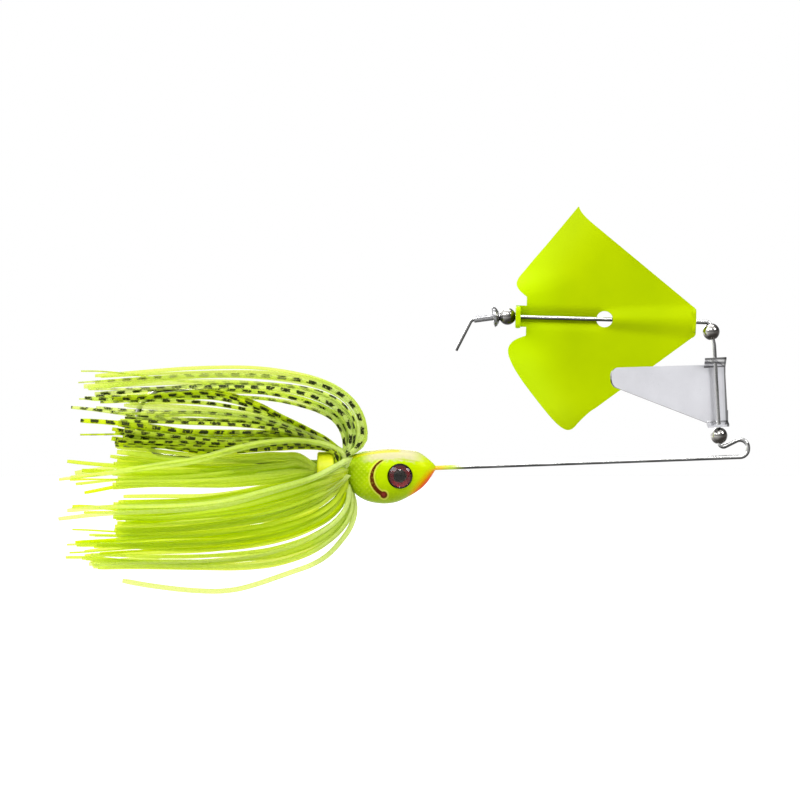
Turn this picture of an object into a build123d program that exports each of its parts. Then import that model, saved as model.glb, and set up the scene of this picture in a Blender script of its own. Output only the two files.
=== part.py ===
from build123d import *
import math
import os

# Buzzbait with a clacker: a painted lead head with a barbed hook and a silicone skirt on one
# bent wire.  The wire's lower arm carries the head, its open bend is the line tie, and its
# upper arm is the shaft that the sheet-metal blade spins on.
# Millimetres.  +X runs from the skirt to the line tie, +Z is up, +Y is the far side.
# The origin is the centre of the line-tie bend.

os.makedirs("parts", exist_ok=True)

# ---------------------------------------------------------------- driving sizes

WIRE_R = 0.5
RUNNING_GAP = 0.08
BORE_R = WIRE_R + RUNNING_GAP

# straight runs of the wire, as a start point and a slope
NOSE_X = -67.0
NOSE_Z = -4.33
LOWER_ARM_SLOPE = 0.036
POST_KNEE_X = -5.72
POST_KNEE_Z = 22.6
TOP_CORNER_X = -6.75
TOP_CORNER_Z = 27.72
UPPER_ARM_SLOPE = 0.0287
REAR_KINK_X = -53.3
RIVET_DROP = 7.5
TIE_R = 1.76
TIE_X = 1.78

# head, neck and skirt
NECK_AXIS_Z = -4.9
NECK_R = 2.4
NECK_END_X = -94.4
STRAND_RING_R = 2.9
STRAND_ROD_R = 0.45
COLLAR_BACK_X = -93.0
COLLAR_FRONT_X = -89.3
COLLAR_R = 4.1
EYE_X = -74.8
EYE_Z = -6.1
EYE_R = 2.8
EYE_FLOOR_Y = 3.75

# hook
HOOK_R = 0.6
HOOK_EYE_X = -76.3
HOOK_EYE_Z = -4.7
HOOK_EYE_RING_R = 1.2
HOOK_BEND_X = -125.0
HOOK_BEND_Z = 6.0
HOOK_BEND_R = 7.5

# spinning and sliding pieces
BEAD_R = 1.88
REAR_BEAD_X = -51.15
LOWER_BEAD_Z = 2.75
UPPER_BEAD_DROP = 2.15
BLADE_X = -29.8
BLADE_THICK = 0.8
CLACKER_Z = 5.72
CLACKER_TURN = 37.0
CLACKER_THICK = 0.5
CLACKER_STANDOFF = 1.3


# ---------------------------------------------------------------- lines of the wire

def lower_arm_z(x):
    """Height of the lower arm's centre line."""
    return NOSE_Z + LOWER_ARM_SLOPE * (x - NOSE_X)


def upper_arm_z(x):
    """Height of the blade shaft's centre line."""
    return TOP_CORNER_Z + UPPER_ARM_SLOPE * (TOP_CORNER_X - x)


POST_FOOT = Vector(-4.45, 0, -0.15)
POST_KNEE = Vector(POST_KNEE_X, 0, POST_KNEE_Z)
POST_TOP = Vector(TOP_CORNER_X, 0, TOP_CORNER_Z)
POST_UP = (POST_KNEE - POST_FOOT).normalized()
POST_HEAD_UP = (POST_TOP - POST_KNEE).normalized()
SHAFT_FORWARD = Vector(1, 0, -UPPER_ARM_SLOPE).normalized()
REAR_KINK = Vector(REAR_KINK_X, 0, upper_arm_z(REAR_KINK_X))
RIVET_BACK = Vector(-1, 0, -math.tan(math.radians(RIVET_DROP))).normalized()


def on_post(z):
    """Point of the post's centre line at height z."""
    return POST_FOOT + POST_UP * ((z - POST_FOOT.Z) / POST_UP.Z)


def on_shaft(x):
    """Point of the blade shaft's centre line at x."""
    return Vector(x, 0, upper_arm_z(x))


def rod_along(start, direction, radius, length):
    """Cylinder that starts at a point and runs along a direction."""
    return extrude(Plane(origin=start, z_dir=direction) * Circle(radius), length)


def bent_rod(points, bend_radii, radius):
    """Round rod along straight runs joined by arcs."""
    path = FilletPolyline(*points, radius=bend_radii)
    section = Plane(origin=path @ 0, z_dir=path % 0) * Circle(radius)
    return sweep(section, path=path)


# ---------------------------------------------------------------- wire frame

def wire_frame():
    """One wire: hooked tail in the head, lower arm, line tie, post and blade shaft."""
    bend_start = REAR_KINK + RIVET_BACK * 5.9
    points = [
        Vector(HOOK_EYE_X, 1.9, HOOK_EYE_Z),
        Vector(HOOK_EYE_X, -1.5, HOOK_EYE_Z),
        Vector(-72.9, -1.5, -4.6),
        Vector(-70.0, 0, lower_arm_z(-70.0)),
        Vector(TIE_X, 0, lower_arm_z(TIE_X)),
        Vector(TIE_X, 0, 2.93),
        POST_FOOT,
        POST_KNEE,
        POST_TOP,
        REAR_KINK,
        bend_start,
        bend_start + Vector(-3.45, 0, -6.75),
    ]
    radii = [0.9, 1.5, 2.5, TIE_R, TIE_R, 0.9, 5.0, 0.9, 8.0, 1.0]
    return bent_rod(points, radii, WIRE_R)


# ---------------------------------------------------------------- hook

def hook():
    """Barbed hook: closed eye in the head, straight shank, round bend and point leg."""
    shank_start = Vector(HOOK_EYE_X - HOOK_EYE_RING_R - 0.2, 0, HOOK_EYE_Z)
    bottom_z = HOOK_BEND_Z - HOOK_BEND_R
    top_z = HOOK_BEND_Z + HOOK_BEND_R - 0.4
    heel_x = HOOK_BEND_X - HOOK_BEND_R
    points = [
        shank_start,
        Vector(HOOK_BEND_X - 3.0, 0, bottom_z),
        Vector(heel_x, 0, 2.4),
        Vector(heel_x, 0, 9.4),
        Vector(HOOK_BEND_X - 3.2, 0, top_z),
        Vector(-119.0, 0, 12.7),
    ]
    body = bent_rod(points, [5.6, 5.2, 5.2, 5.0], HOOK_R)
    tip_direction = (points[5] - points[4]).normalized()
    tip_plane = Plane(origin=points[5], z_dir=tip_direction)
    point = loft([tip_plane * Circle(HOOK_R), tip_plane.offset(4.6) * Circle(0.06)])
    barb_profile = Polyline((-119.6, 12.2), (-117.2, 12.35), (-120.2, 10.9), close=True)
    barb_face = Plane.XZ * make_face(barb_profile)
    barb = extrude(barb_face, 0.22, both=True)
    ring_plane = Plane(origin=(HOOK_EYE_X, 0, HOOK_EYE_Z), z_dir=(0, 1, 0))
    eye = ring_plane * Torus(HOOK_EYE_RING_R, HOOK_R)
    return body + point + barb + eye


# ---------------------------------------------------------------- head

# side profile of the head: station, top and bottom heights and half width
HEAD_STATIONS = [
    (-86.9, -2.7, -7.3, 2.3),
    (-85.5, -1.6, -9.1, 3.0),
    (-83.8, -0.9, -10.7, 3.6),
    (-81.0, -0.3, -11.9, 4.2),
    (-78.2, 0.0, -12.2, 4.45),
    (-75.4, -0.05, -11.8, 4.4),
    (-72.6, -0.3, -10.5, 4.0),
    (-70.3, -1.1, -9.0, 3.3),
    (-68.4, -2.5, -7.0, 2.2),
    (-67.4, -3.4, -5.4, 1.1),
    (-67.0, -3.9, -4.8, 0.5),
]


def head_blank():
    """Head shape before its sockets are cut: lofted oval stations."""
    sections = []
    for x, top, bottom, half_width in HEAD_STATIONS:
        plane = Plane(origin=(x, 0, (top + bottom) / 2), x_dir=(0, 1, 0), z_dir=(1, 0, 0))
        sections.append(plane * Ellipse(half_width, (top - bottom) / 2))
    return loft(sections)


def gill_grooves(blank):
    """Shallow crescent on each cheek, as deep as the skin of the blank."""
    outer = Polyline(
        (-78.6, -2.5), (-80.2, -3.8), (-81.0, -5.6), (-81.1, -7.0), (-80.5, -8.4), (-79.3, -9.9),
        (-78.6, -9.2), (-79.6, -7.9), (-80.0, -6.8), (-79.9, -5.6), (-79.2, -4.2), close=True,
    )
    band = extrude(Plane.XZ * make_face(outer), 6.0, both=True)
    core = Pos(-77, 0, -6) * scale(Pos(77, 0, 6) * blank, by=(1.0, 0.95, 1.0))
    return band - core


def lead_head(wire, hook_body):
    """Cast head with its neck; the hook and the wire are cast in."""
    blank = head_blank()
    neck_start = Vector(-84.5, 0, NECK_AXIS_Z)
    neck = rod_along(neck_start, Vector(-1, 0, 0), NECK_R, neck_start.X - NECK_END_X)
    head = blank + neck - gill_grooves(blank)
    for side in (-1, 1):
        floor = Vector(EYE_X, side * EYE_FLOOR_Y, EYE_Z)
        head -= rod_along(floor, Vector(0, side, 0), EYE_R, 3.0)
    head -= wire
    head -= hook_body
    return head.solids().sort_by(SortBy.VOLUME)[-1]


def eye_backing(side):
    """Foil disc on the floor of an eye socket."""
    start = Vector(EYE_X, side * (EYE_FLOOR_Y + 0.02), EYE_Z)
    return rod_along(start, Vector(0, side, 0), EYE_R - 0.05, 0.25)


def eye_dome(side):
    """Clear domed lens over the foil."""
    height = 1.05
    radius = EYE_R - 0.05
    ball_r = (radius ** 2 + height ** 2) / (2 * height)
    base_y = side * (EYE_FLOOR_Y + 0.29)
    ball = Pos(EYE_X, base_y - side * (ball_r - height), EYE_Z) * Sphere(ball_r)
    keep = rod_along(Vector(EYE_X, base_y, EYE_Z), Vector(0, side, 0), radius + 1.0, 3.0)
    return ball & keep


# ---------------------------------------------------------------- skirt

def collar():
    """Elastic band that holds the strands on the neck."""
    length = COLLAR_FRONT_X - COLLAR_BACK_X
    start = Vector(COLLAR_BACK_X, 0, NECK_AXIS_Z)
    forward = Vector(1, 0, 0)
    band = rod_along(start, forward, COLLAR_R, length)
    band = fillet(band.edges().filter_by(GeomType.CIRCLE), 0.5)
    return band - rod_along(start, forward, STRAND_RING_R + STRAND_ROD_R + 0.05, length)


# meridian of the strands behind the collar, and of those folded back over it: x and radius
REAR_LAYER = [
    (-93.0, 2.95), (-95.0, 3.5), (-98.5, 5.6), (-104.0, 8.8), (-112.0, 11.2),
    (-122.0, 12.8), (-134.0, 14.2), (-150.0, 15.6),
]
FRONT_LAYER = [
    (-89.4, 2.95), (-88.2, 3.2), (-86.6, 4.6), (-85.0, 7.2), (-84.4, 9.8), (-84.8, 12.8),
    (-86.6, 16.0), (-90.0, 18.6), (-96.0, 20.8), (-105.0, 22.2), (-118.0, 22.8),
    (-132.0, 22.4), (-146.0, 21.6),
]
STRAND_THICK = 0.4
BUNDLE_ANGLES = [24, 50, 76, 102, 129, 156]
BUNDLE_HALF_ANGLE = 10.0
WIDTH_SQUEEZE = 0.85


def petal(meridian, angle):
    """One fan of strands as a tapered strip that follows a meridian of the skirt."""
    turn = math.radians(angle)
    belly = 1.0 + 0.09 * (1.0 - math.cos(turn))
    centres = []
    for x, r in meridian:
        swell = 1.0 + (belly - 1.0) * min(1.0, max(0.0, (r - 4.0) / 6.0))
        y = WIDTH_SQUEEZE * r * swell * math.sin(turn) if r > 4.0 else r * math.sin(turn)
        centres.append(Vector(x, y, NECK_AXIS_Z + r * swell * math.cos(turn)))
    across = Vector(0, math.cos(turn), -math.sin(turn))
    sections = []
    for i, centre in enumerate(centres):
        before = centres[max(0, i - 1)]
        after = centres[min(len(centres) - 1, i + 1)]
        r = meridian[i][1]
        width = min(7.0, max(0.8, 2.0 * (r - 0.6) * math.tan(math.radians(BUNDLE_HALF_ANGLE))))
        section_plane = Plane(origin=centre, x_dir=across, z_dir=(after - before).normalized())
        sections.append(section_plane * Rectangle(width, STRAND_THICK))
    return loft(sections, ruled=True)


def skirt_bundle(angle):
    """Strands held at one place of the collar, loose behind it and folded back over it."""
    turn = math.radians(angle)
    start = Vector(
        COLLAR_BACK_X - 0.2,
        STRAND_RING_R * math.sin(turn),
        NECK_AXIS_Z + STRAND_RING_R * math.cos(turn),
    )
    held = rod_along(start, Vector(1, 0, 0), STRAND_ROD_R, COLLAR_FRONT_X - COLLAR_BACK_X + 0.3)
    return held + petal(REAR_LAYER, angle) + petal(FRONT_LAYER, angle)


# ---------------------------------------------------------------- beads and rivet

def bead(centre, direction):
    """Round bead with a bore along the wire and softened bore mouths."""
    ball = Pos(centre) * Sphere(BEAD_R)
    drilled = ball - rod_along(centre - direction * 3, direction, BORE_R, 6.0)
    mouth = BORE_R + 0.35
    for sign in (-1, 1):
        outer = Plane(origin=centre + direction * (sign * BEAD_R), z_dir=direction * sign)
        drilled -= loft([outer.offset(-0.6) * Circle(BORE_R), outer.offset(0.1) * Circle(mouth)])
    return drilled


def rivet():
    """Hollow rivet on the shaft behind the rear bead: thin tube and dished flange."""
    plane = Plane(origin=REAR_KINK - RIVET_BACK * 0.35, x_dir=RIVET_BACK, z_dir=(0, -1, 0))
    tube_r = 0.8
    profile = Polyline(
        (0.0, BORE_R), (0.0, 0.95), (0.3, 1.6), (0.75, 2.15), (1.25, 2.35),
        (1.4, 2.15), (1.0, 1.95), (0.62, 1.45), (0.42, tube_r), (5.6, tube_r), (5.6, BORE_R),
        close=True,
    )
    axis = Axis(origin=plane.origin, direction=RIVET_BACK)
    return revolve(plane * make_face(profile), axis, 360)


# ---------------------------------------------------------------- buzz blade

# outline in the blade's own plane: forward along the shaft, and up; a smooth curve through the
# points of each run, and a corner where two runs meet
BLADE_OUTLINE = [
    [(-6.2, 24.9), (-5.4, 23.3), (-4.3, 22.1), (-2.6, 20.6), (0.0, 18.5)],
    [(0.0, 18.5), (19.5, 3.25)],
    [(19.5, 3.25), (20.0, 2.7), (20.1, 2.1)],
    [(20.1, 2.1), (20.1, -2.3)],
    [(20.1, -2.3), (20.0, -3.0), (19.3, -3.6)],
    [(19.3, -3.6), (3.9, -15.5), (-1.4, -19.6)],
    [(-1.4, -19.6), (-4.0, -21.7), (-5.6, -23.4), (-6.5, -24.3), (-7.5, -24.6), (-8.9, -24.1),
     (-10.4, -22.9), (-12.9, -20.2), (-16.2, -16.2), (-18.9, -12.6), (-20.4, -10.0),
     (-21.0, -8.3), (-21.0, -6.9), (-20.2, -5.6), (-18.8, -4.7), (-17.2, -4.1)],
    [(-17.2, -4.1), (-17.2, -2.2), (-19.5, -2.2), (-19.5, 2.5), (-17.2, 2.5), (-17.2, 4.4)],
    [(-17.2, 4.4), (-18.3, 5.3), (-19.2, 6.3), (-19.5, 7.3), (-19.2, 8.4), (-18.2, 9.8),
     (-16.0, 12.6), (-12.5, 16.9)],
    [(-12.5, 16.9), (-6.2, 24.9)],
]
STRAIGHT_RUNS = (1, 3, 7, 9)
BLADE_HOLE_R = 1.77
CHANNEL_DEPTH = 1.2
WING_BEND = 11.0
WING_DEPTH = 4.2


def smooth(value, low, high):
    """Smooth step from 0 at low to 1 at high."""
    t = min(1.0, max(0.0, (value - low) / (high - low)))
    return t * t * (3.0 - 2.0 * t)


def blade_height(u, v):
    """Offset of the pressed sheet from its own plane, positive to the far side."""
    side = 1.0 - 2.0 * smooth(u, -1.7, 1.7)
    half_width = 2.9 if u < 0 else 2.6 + 0.1 * u
    t = abs(v) / half_width
    channel = side * CHANNEL_DEPTH * (0.5 + 0.5 * math.cos(math.pi * t) if t < 1.0 else 0.0)
    if v >= 0:
        from_edge = (u + 18.7) * 0.775 - (v - 9.1) * 0.632
        sign = 1.0
    else:
        from_edge = (u + 19.6) * 0.767 + (v + 11.7) * 0.642
        sign = -1.0
    lift = max(0.0, WING_BEND - from_edge) / WING_BEND
    wing = sign * WING_DEPTH * lift * lift * smooth(abs(v), 3.5, 11.0)
    return channel + wing


def buzz_blade():
    """Two-winged blade pressed from sheet, with a folded ear at each end."""
    origin = on_shaft(BLADE_X)
    blade_plane = Plane(origin=origin, x_dir=SHAFT_FORWARD, z_dir=(0, -1, 0))
    rows = []
    for i in range(60):
        u = -23.0 + i * 0.75
        rows.append([
            blade_plane.from_local_coords(Vector(u, v, BLADE_THICK / 2 - blade_height(u, v)))
            for v in [-27.0 + j * 0.75 for j in range(73)]
        ])
    front_face = Face.make_surface_from_array_of_points(rows, tol=0.01)
    sheet = Solid.extrude(front_face, Vector(0, BLADE_THICK, 0))
    edges = []
    for number, run in enumerate(BLADE_OUTLINE):
        curve = Polyline(*run) if number in STRAIGHT_RUNS else Spline(*run)
        edges += curve.edges()
    outline = make_face(Wire(edges)) - Circle(BLADE_HOLE_R)
    sheet = sheet & extrude(blade_plane * outline, 12.0, both=True)

    def ear(u, thick, reach, low, high):
        """Folded tab across the shaft with a rounded end and softened faces."""
        plane = Plane(
            origin=origin + SHAFT_FORWARD * u, x_dir=(0, math.copysign(1, reach), 0),
            z_dir=SHAFT_FORWARD,
        )
        half = (high - low) / 2
        middle = math.copysign(1, -reach) * (high + low) / 2
        tab = Pos(abs(reach) / 2 - 1.5, middle) * RectangleRounded(abs(reach) + 0.2, 2 * half, 1.2)
        block = extrude(plane * tab, thick)
        return fillet(block.edges(), 0.3)

    blade = sheet + ear(-19.6, 1.1, -4.4, -2.25, 2.55) + ear(19.25, 0.85, 4.6, -2.9, 2.6)
    return blade - rod_along(on_shaft(BLADE_X - 24), SHAFT_FORWARD, BORE_R, 48.0)


# ---------------------------------------------------------------- clacker

def clacker():
    """Flat wing hung on the post by two folded ears."""
    turn = math.radians(CLACKER_TURN)
    outward = Vector(-math.cos(turn), -math.sin(turn), 0)
    outward = (outward - POST_UP * outward.dot(POST_UP)).normalized()
    toward_post = POST_UP.cross(outward)
    hang = Plane(origin=on_post(CLACKER_Z), x_dir=outward, z_dir=toward_post)
    if hang.y_dir.Z < 0:
        hang = Plane(origin=hang.origin, x_dir=outward, z_dir=-toward_post)
    front = 1 if hang.z_dir.Y < 0 else -1
    outline = Polyline(
        (-3.8, 12.5), (1.9, 12.75), (28.7, 13.2), (28.9, 9.3), (2.2, 0.0), (-3.8, 0.0),
        close=True,
    )
    plate_face = fillet(make_face(outline).vertices().sort_by(Axis.X)[-2:], 1.9)
    back = -front * (CLACKER_STANDOFF + CLACKER_THICK / 2)
    plate = extrude(hang.offset(back) * plate_face, front * CLACKER_THICK)

    def ear(low, high, rise, left_x, right_x):
        """Folded ear: a strip from the plate, round the bend and across the post."""
        side_plane = Plane(origin=hang.origin + outward * 6.0, x_dir=hang.z_dir * front,
                           z_dir=-outward)
        up = 1 if side_plane.y_dir.Z > 0 else -1
        path = FilletPolyline(
            (-CLACKER_STANDOFF, up * low), (-CLACKER_STANDOFF, up * high), (1.6, up * (high + rise)),
            radius=0.7,
        )
        strip = extrude(side_plane * trace(path, CLACKER_THICK), 12.0)
        middle_x = (left_x + right_x) / 2
        return strip & (Pos(middle_x, 0, 12) * Box(right_x - left_x, 20, 40))

    wing = plate + ear(9.5, 12.3, 1.7, -7.95, -2.95) + ear(2.5, -0.1, -0.75, -7.35, -2.35)
    bore_start = on_post(CLACKER_Z - 4)
    return wing - rod_along(bore_start, POST_UP, BORE_R, 24.0)


# ---------------------------------------------------------------- all pieces

def build_all():
    """Every named piece of the lure."""
    wire = wire_frame()
    hook_body = hook()
    pieces = {
        "wire_frame": wire,
        "hook": hook_body,
        "lead_head": lead_head(wire, hook_body),
        "skirt_collar": collar(),
        "rear_bead": bead(on_shaft(REAR_BEAD_X), SHAFT_FORWARD),
        "upper_bead": bead(POST_TOP - POST_HEAD_UP * UPPER_BEAD_DROP, POST_HEAD_UP),
        "lower_bead": bead(on_post(LOWER_BEAD_Z), POST_UP),
        "rivet": rivet(),
        "buzz_blade": buzz_blade(),
        "clacker": clacker(),
    }
    for side, word in ((-1, "near"), (1, "far")):
        pieces["eye_backing_" + word] = eye_backing(side)
        pieces["eye_dome_" + word] = eye_dome(side)
    for sign, word in ((-1, "near"), (1, "far")):
        for number, angle in enumerate(BUNDLE_ANGLES, start=1):
            pieces["skirt_bundle_%s_%d" % (word, number)] = skirt_bundle(sign * angle)
    return pieces


for name, shape in build_all().items():
    box = shape.bounding_box()
    print("%-24s solids %d  volume %8.2f  z %6.1f to %6.1f  valid %s" % (
        name, len(shape.solids()), shape.volume, box.min.Z, box.max.Z, shape.is_valid))
    export_step(shape, "parts/" + name + ".step")
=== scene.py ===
import bpy
import math
import random
from mathutils import Matrix, Vector


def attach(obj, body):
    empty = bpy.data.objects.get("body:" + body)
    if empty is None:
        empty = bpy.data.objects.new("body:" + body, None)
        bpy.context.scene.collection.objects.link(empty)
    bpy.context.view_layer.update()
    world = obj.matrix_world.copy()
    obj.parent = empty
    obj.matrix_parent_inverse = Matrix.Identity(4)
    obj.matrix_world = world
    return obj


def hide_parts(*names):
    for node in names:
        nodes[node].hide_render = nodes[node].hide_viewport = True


# Looks of the buzzbait: materials on the hard pieces, a skirt of single silicone strands,
# a pale floor, soft studio light and the camera.  The sizes below, the skirt and every value
# with a name that ends in mm are millimetres; other positions and sizes are metres.

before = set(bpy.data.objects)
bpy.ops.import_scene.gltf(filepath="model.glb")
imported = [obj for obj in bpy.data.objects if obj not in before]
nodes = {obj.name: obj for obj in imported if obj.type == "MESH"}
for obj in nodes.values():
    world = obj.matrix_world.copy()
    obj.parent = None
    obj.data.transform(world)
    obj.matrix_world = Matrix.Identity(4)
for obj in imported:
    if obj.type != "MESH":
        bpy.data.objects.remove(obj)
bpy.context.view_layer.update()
MM = 0.001

# ---------------------------------------------------------------- driving sizes

# neck, collar and the rear of the head, as radii round the neck's axis
NECK_AXIS_Z = -4.9
COLLAR_R = 4.1
COLLAR_BACK_X = -93.0
COLLAR_FRONT_X = -89.3
HEAD_RADII = [(-88.0, 2.2), (-86.9, 2.8), (-85.5, 4.0), (-83.8, 5.3), (-81.0, 6.2)]

# where the markings and the bare metal are, in the side view
EYE_X = -74.8
EYE_Z = -6.1
CHEEK_MARK_X = -76.9
CHEEK_MARK_Z = -6.3
CHEEK_MARK_R = 4.1
WING_REAR_X = -47.8
WING_FRONT_X = -11.5
LOWER_ARM_TOP_Z = 5.0
CLACKER_FACING = (0.602, -0.799, 0.0)
CLACKER_EAR_Z = 17.4

# skirt; bundle angles are degrees round the neck's axis from straight up
STRAND_WIDTH = 1.12
STRAND_THICK = 0.34
STRAND_RING_R = 2.9
BAR_PITCH = 3.4
SKIRT_REACH_UP = 22.5
SKIRT_REACH_DOWN = 27.2
SKIRT_DEPTH_RATIO = 0.82
ROOTS_UNDER_COLLAR = (-90.2, -88.7)
ROOTS_BEHIND_COLLAR = (-91.6, -93.4)
LONGEST_X = -150.0
BUNDLE_ANGLES = [24, 50, 76, 102, 129, 156]
BUNDLES = range(1, len(BUNDLE_ANGLES) + 1)
TRACK_POINTS = 17
ROUTE_POINTS = 90
STRAND_POINTS = 48

# floor, and the point that the lights are aimed at
FLOOR_HALF_WIDTH = 9000.0
FLOOR_Z = -160.0
LURE_MIDDLE = (-75.0, 0.0, 10.0)


# ---------------------------------------------------------------- material helper

def srgb(red, green, blue):
    """Linear colour of an 8-bit display colour."""
    out = []
    for value in (red, green, blue):
        c = value / 255.0
        out.append(c / 12.92 if c <= 0.04045 else ((c + 0.055) / 1.055) ** 2.4)
    return tuple(out)


class Graph:
    """Builds one procedural material, node by node."""

    def __init__(self, name):
        self.material = bpy.data.materials.new(name)
        self.material.use_nodes = True
        self.tree = self.material.node_tree
        self.tree.nodes.clear()
        self.output = self.tree.nodes.new("ShaderNodeOutputMaterial")
        inside = self.tree.nodes.new("ShaderNodeTexCoord")
        self.place = inside.outputs["Object"]
        self.normal = inside.outputs["Normal"]
        axes = self.node("SeparateXYZ", {"Vector": self.place})
        self.x, self.y, self.z = axes.outputs[0], axes.outputs[1], axes.outputs[2]

    def feed(self, socket, value):
        """Links or sets one input."""
        if isinstance(value, bpy.types.NodeSocket):
            self.tree.links.new(value, socket)
        elif socket.type == "RGBA":
            socket.default_value = (value[0], value[1], value[2], 1.0)
        else:
            socket.default_value = value

    def node(self, kind, inputs=None, **settings):
        """A shader node with its settings and inputs."""
        made = self.tree.nodes.new("ShaderNode" + kind)
        for key, value in settings.items():
            setattr(made, key, value)
        for key, value in (inputs or {}).items():
            self.feed(made.inputs[key], value)
        return made

    def noise(self, scale, detail=2.0, where=None):
        """Soft noise between 0 and 1, mostly near one half."""
        made = self.node("TexNoise", {"Vector": where or self.place, "Scale": scale,
                                      "Detail": detail})
        return made.outputs["Fac"]

    def sway(self, scale, size, detail=2.0):
        """Noise that swings evenly round zero."""
        return self.times(self.minus(self.noise(scale, detail), 0.5), size)

    def math(self, operation, a, b=0.0):
        """One arithmetic step on one or two values."""
        made = self.node("Math", {0: a, 1: b}, operation=operation)
        return made.outputs[0]

    def plus(self, a, b):
        return self.math("ADD", a, b)

    def minus(self, a, b):
        return self.math("SUBTRACT", a, b)

    def times(self, a, b):
        return self.math("MULTIPLY", a, b)

    def absolute(self, value):
        """A value without its sign."""
        return self.math("ABSOLUTE", value)

    def ease(self, value, low, high):
        """Smooth step of a value from 0 at low to 1 at high."""
        made = self.node("MapRange", {"Value": value, "From Min": low, "From Max": high},
                         interpolation_type="SMOOTHSTEP")
        return made.outputs["Result"]

    def span(self, value, low, high, to_low, to_high):
        """A value carried evenly, and clamped, from one range to another."""
        made = self.node("MapRange", {"Value": value, "From Min": low, "From Max": high,
                                      "To Min": to_low, "To Max": to_high})
        return made.outputs["Result"]

    def mix(self, factor, a, b):
        """A colour part of the way from a to b."""
        made = self.node("Mix", data_type="RGBA")
        self.feed(made.inputs[0], factor)
        self.feed(made.inputs[6], a)
        self.feed(made.inputs[7], b)
        return made.outputs[2]

    def in_mm(self, metres):
        """A length in millimetres."""
        return self.times(metres, 1.0 / MM)

    def distance(self, x_mm, z_mm):
        """Distance in the side view from a point, in millimetres."""
        dx = self.minus(self.in_mm(self.x), x_mm)
        dz = self.minus(self.in_mm(self.z), z_mm)
        square = self.plus(self.times(dx, dx), self.times(dz, dz))
        return self.math("SQRT", square)

    def lean(self, x, y, z):
        """How far the surface faces a direction of the piece, from -1 to 1."""
        made = self.node("VectorMath", {0: self.normal, 1: (x, y, z)}, operation="DOT_PRODUCT")
        return made.outputs["Value"]

    def bump(self, height, strength, distance_mm, normal=None):
        """A surface direction tilted by a height, over an earlier one if given."""
        inputs = {"Height": height, "Strength": strength, "Distance": distance_mm * MM}
        if normal is not None:
            inputs["Normal"] = normal
        return self.node("Bump", inputs).outputs["Normal"]

    def principled(self, **inputs):
        """Closes the material with a principled shader; keys use _ for spaces."""
        named = {key.replace("_", " "): value for key, value in inputs.items()}
        return self.surface(self.node("BsdfPrincipled", named))

    def surface(self, shader):
        """Closes the material with a shader node."""
        self.tree.links.new(shader.outputs[0], self.output.inputs[0])
        return self.material


# ---------------------------------------------------------------- materials of the hard pieces

def blade_paint():
    """Enamel, made brighter towards the rear of the wings by painted light, with painted shade on
    their cut edges.
    """
    g = Graph("blade_paint")
    cloud = g.noise(60.0, 3.0)
    fine = g.noise(900.0, 3.0)
    colour = g.mix(g.span(cloud, 0.35, 0.65, 0.0, 1.0), (0.36, 0.49, 0.0), (0.41, 0.54, 0.0))
    x_mm = g.in_mm(g.x)
    # painted light: the wings are made brighter towards their rear
    rear = g.times(g.ease(x_mm, -36.0, -49.0), 0.7)
    colour = g.mix(rear, colour, (0.46, 0.67, 0.0))
    # painted shade: faces seen edge-on, the cut edges of the wings, are darkened
    edge_on = g.ease(g.absolute(g.lean(0.0, 1.0, 0.0)), 0.62, 0.45)
    cut_edge_shade = g.times(edge_on, g.math("GREATER_THAN", x_mm, WING_REAR_X))
    cut_edge_shade = g.times(cut_edge_shade, g.math("LESS_THAN", x_mm, WING_FRONT_X))
    colour = g.mix(g.times(cut_edge_shade, 0.65), colour, (0.10, 0.14, 0.01))
    rough = g.span(fine, 0.3, 0.7, 0.40, 0.50)
    peel = g.bump(g.noise(420.0, 2.0), 0.06, 0.03)
    specks = g.bump(fine, 0.04, 0.01, peel)
    return g.principled(Base_Color=colour, Roughness=rough, Normal=specks,
                        Specular_IOR_Level=0.14, Specular_Tint=(0.85, 1.0, 0.05, 1.0))


def steel(name, base, roughness, paint_near_head=False):
    """Drawn steel with long faint die marks, painted where it leaves the head, with painted light
    on the side facing up and painted shade on the side facing down.
    """
    g = Graph(name)
    stretch = g.node("Mapping", {"Vector": g.place, "Scale": (60.0, 1500.0, 1500.0)})
    lines = g.noise(1.0, 4.0, stretch.outputs[0])
    # painted light and shade: near black where the surface faces down, the steel's colour where
    # it faces up and to the upper left, with noise moving the boundary
    shade_wobble = g.noise(180.0, 3.0)
    dark = tuple(c * 0.07 for c in base)
    painted_light_facing = g.plus(g.lean(-0.50, -0.12, 0.86), g.span(shade_wobble, 0.3, 0.7, -0.12, 0.12))
    colour = g.mix(g.ease(painted_light_facing, -0.30, 0.42), dark, base)
    rough = g.span(lines, 0.3, 0.7, roughness * 0.75, roughness * 1.3)
    normal = g.bump(lines, 0.15, 0.004)
    metallic = 1.0
    if paint_near_head:
        along_mm = g.plus(g.in_mm(g.x), g.sway(700.0, 1.2))
        lower_arm = g.math("LESS_THAN", g.in_mm(g.z), LOWER_ARM_TOP_Z)
        bare = g.ease(along_mm, -64.0, -60.0)
        painted = g.times(g.minus(1.0, bare), lower_arm)
        tint = g.mix(g.ease(along_mm, -66.8, -63.5), srgb(240, 190, 20), srgb(190, 214, 60))
        colour = g.mix(painted, colour, tint)
        metallic = g.minus(1.0, painted)
        rough = g.plus(rough, g.times(painted, 0.15))
    return g.principled(Base_Color=colour, Metallic=metallic, Roughness=rough, Normal=normal)


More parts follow.
